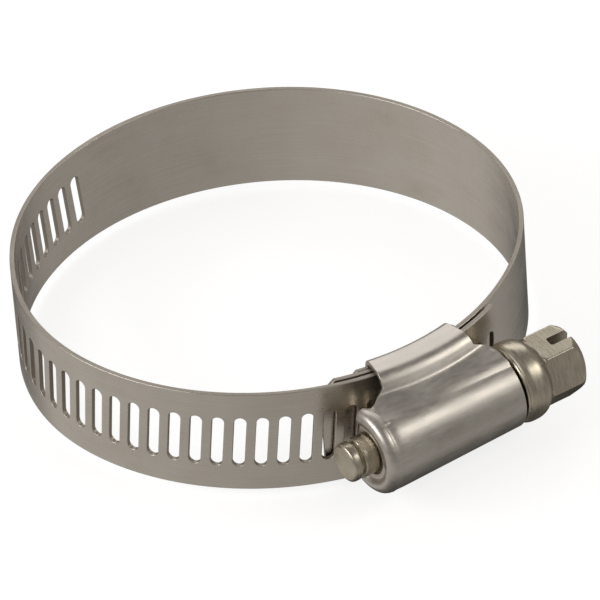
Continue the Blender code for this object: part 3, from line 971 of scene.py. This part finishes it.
# name, azimuth, elevation, distance, width, height, radiance and colour
SOFTBOXES = [
    ("key_softbox", 35, 37, 0.5, 0.26, 0.26, 0.45, (1.0, 0.985, 0.96)),
    ("front_softbox", 29, 8, 0.5, 0.28, 0.24, 0.1, (1.0, 0.985, 0.96)),
    ("head_softbox", 57, 32, 0.5, 0.13, 0.13, 4.4, (1.0, 0.98, 0.9)),
    ("key_core", 36, 43, 0.48, 0.12, 0.12, 2.3, (1.0, 0.99, 0.95)),
    ("left_softbox", -100, 31, 0.5, 0.42, 0.16, 4.2, (1.0, 1.0, 1.0)),
    ("back_softbox", 148, 37, 0.5, 0.45, 0.24, 1.15, (1.0, 1.0, 1.0)),
]


def bearing(azimuth, elevation):
    """Unit vector from the ring's centre. Azimuth 0 is the housing's side, and it grows towards +X."""
    level = math.cos(elevation)
    return Vector((math.sin(azimuth) * level, -math.cos(azimuth) * level, math.sin(elevation)))


def build_floor():
    """White paper under the clamp, which glows a little so that it stays even."""
    bm = bmesh.new()
    bmesh.ops.create_grid(bm, x_segments=1, y_segments=1, size=FLOOR_HALF)
    floor = add_object("floor", mesh_of("floor", bm))
    paper = bpy.data.materials.new("floor_paper")
    paper.use_nodes = True
    shader = paper.node_tree.nodes["Principled BSDF"]
    shader.inputs["Base Color"].default_value = (0.45, 0.45, 0.45, 1)
    shader.inputs["Roughness"].default_value = 0.9
    shader.inputs["Specular IOR Level"].default_value = 0.0
    shader.inputs["Emission Color"].default_value = (1, 1, 1, 1)
    shader.inputs["Emission Strength"].default_value = 0.77
    floor.data.materials.append(paper)
    floor.location.z = cad_box[0].z - FLOOR_GAP
    floor.visible_glossy = False


def build_sky():
    """Room round the clamp: levels by height, brighter on the left behind it and dark straight behind."""
    world = bpy.data.worlds.new("studio")
    bpy.context.scene.world = world
    world.use_nodes = True
    sky = world.node_tree
    direction = node(sky, "ShaderNodeTexCoord").outputs["Generated"]
    ramp = node(sky, "ShaderNodeValToRGB")
    plug(sky, ramp.inputs["Fac"], ranged(sky, height_of(sky, direction), -1.0, 1.0, 0.0, 1.0))
    stops = ramp.color_ramp.elements
    stops[0].position = SKY_LEVELS[0][0]
    stops[1].position = SKY_LEVELS[-1][0]
    for position, _ in SKY_LEVELS[1:-1]:
        stops.new(position)
    for stop, (_, level) in zip(stops, SKY_LEVELS):
        stop.color = (*(level * tint for tint in SKY_TINT), 1)
    bright = bearing(SKY_BRIGHT_AZIMUTH, 0)
    behind = -bearing(CAMERA_AZIMUTH, CAMERA_ELEVATION)
    side_light = ranged(sky, aligned(sky, direction, bright), -0.8, 0.8, 0.76, 1.14)
    far_light = ranged(sky, aligned(sky, direction, behind), 0.70, 0.96, 1.0, 0.2)
    background = sky.nodes["Background"]
    plug(sky, background.inputs["Color"], ramp.outputs["Color"])
    plug(sky, background.inputs["Strength"], combine(sky, "MULTIPLY", side_light, far_light))


def build_softbox(name, azimuth, elevation, distance, width, height, radiance, color):
    """Area light that looks at the ring's centre."""
    light = bpy.data.lights.new(name, "AREA")
    light.shape = "RECTANGLE"
    light.size = width
    light.size_y = height
    light.energy = radiance * math.pi * width * height
    light.color = color
    back = bearing(math.radians(azimuth), math.radians(elevation))
    lamp = add_object(name, light)
    lamp.location = RING_CENTRE + back * distance
    lamp.rotation_euler = (-back).to_track_quat("-Z", "Y").to_euler()


def build_camera():
    """Camera of the photograph, set up in front of the housing and then turned round the ring's centre."""
    spot = CAMERA_DISTANCE * bearing(0, CAMERA_ELEVATION)
    ahead = (CAMERA_TARGET - spot).normalized()
    right = ahead.cross(Vector((0, 0, 1))).normalized()
    above = right.cross(ahead)
    c, s = math.cos(CAMERA_ROLL), math.sin(CAMERA_ROLL)
    axes = Matrix((c * right + s * above, c * above - s * right, -ahead)).transposed().to_4x4()
    axes.translation = spot
    camera = bpy.data.cameras.new("camera")
    camera.lens = CAMERA_LENS
    camera.sensor_width = 36
    camera.clip_start = 0.01
    camera.clip_end = 20
    view = add_object("camera", camera)
    view.matrix_world = Matrix.Translation(RING_CENTRE) @ Matrix.Rotation(CAMERA_AZIMUTH, 4, "Z") @ axes
    bpy.context.scene.camera = view
    bpy.context.scene.view_settings.view_transform = "Standard"


build_floor()
build_sky()
for softbox in SOFTBOXES:
    build_softbox(*softbox)
build_camera()

bpy.context.view_layer.update()
